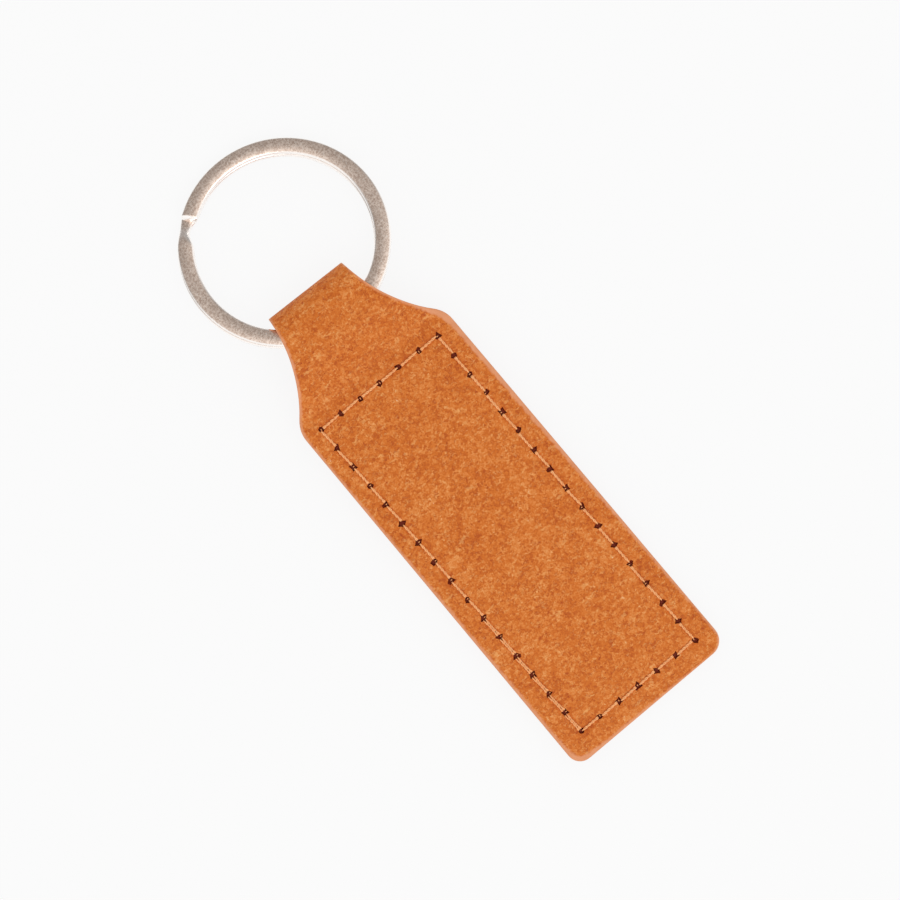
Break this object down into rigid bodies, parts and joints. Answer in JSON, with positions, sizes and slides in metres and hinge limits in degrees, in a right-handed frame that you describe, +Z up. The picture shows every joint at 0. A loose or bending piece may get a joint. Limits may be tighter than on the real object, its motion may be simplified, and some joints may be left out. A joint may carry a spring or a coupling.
{
  "type": "keychain",
  "caption": "Keychain with a long flat fob of stitched tan leather, folded at a narrow neck into a loop that carries a split ring for keys.",
  "frame": {"origin": "middle of the keychain's footprint, on the table that it lies on", "axes": "+Y from the fob's lower edge towards the ring, +Z up from the table through the fob's front face, +X to the right of the front face"},
  "size_m": [0.0308, 0.0982, 0.0082],
  "materials": {
    "tan_leather": "mottled bonded leather with painted edges",
    "peach_thread": "waxed polyester thread",
    "clear_adhesive": "dried contact adhesive",
    "nickel_steel": "nickel plated spring steel"
  },
  "bodies": {
    "fob": {"leather_strap": "tan_leather", "needle_thread": "peach_thread", "bobbin_thread": "peach_thread", "adhesive_film": "clear_adhesive"},
    "ring": {"split_ring": "nickel_steel"}
  },
  "joints": [
    {"name": "ring_swing", "type": "hinge", "parent": "fob", "child": "ring", "pos_m": [-0.00161, 0.02204, 0.00414], "axis": [0.9861, -0.1662, 0], "range_deg": [-100, 110]}
  ]
}
